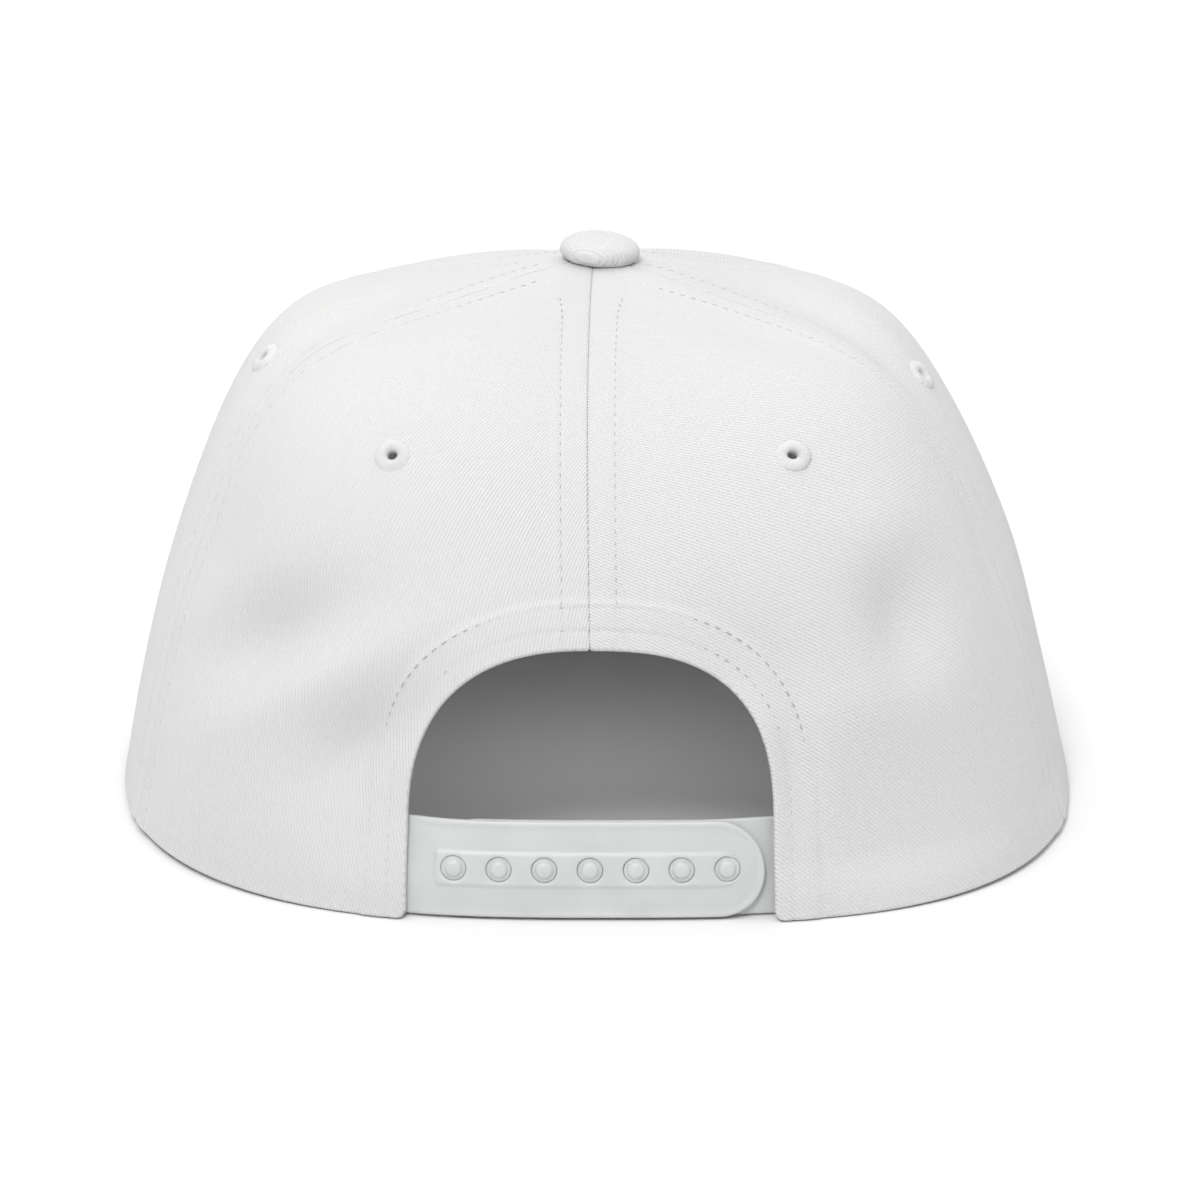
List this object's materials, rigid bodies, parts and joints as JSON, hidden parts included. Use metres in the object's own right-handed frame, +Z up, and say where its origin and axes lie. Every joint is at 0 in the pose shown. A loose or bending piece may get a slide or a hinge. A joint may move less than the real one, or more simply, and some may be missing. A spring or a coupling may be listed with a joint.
{
  "type": "flat bill cap",
  "caption": "Six-panel twill cap with a flat bill, a covered button, stitched eyelets and a plastic snap strap across the arch at the back",
  "frame": {"origin": "the middle of the footprint, on the surface that the cap stands on", "axes": "+Z up, the bill points to -Y, +X is the wearer's left"},
  "size_m": [0.1966, 0.2614, 0.112],
  "materials": {
    "twill": "white cotton twill, matt",
    "thread": "white embroidery thread, slight sheen",
    "strap_plastic": "milky white soft plastic, semi-gloss"
  },
  "bodies": {
    "root": {"back_panel_left": "twill", "back_panel_right": "twill", "side_panel_left": "twill", "side_panel_right": "twill", "front_panel_left": "twill", "front_panel_right": "twill", "bill": "twill", "button": "twill", "eyelet_back_left": "thread", "eyelet_back_right": "thread", "eyelet_side_left": "thread", "eyelet_side_right": "thread", "eyelet_front_left": "thread", "eyelet_front_right": "thread", "snap_strap_outer": "strap_plastic", "snap_strap_inner": "strap_plastic"}
  },
  "joints": []
}
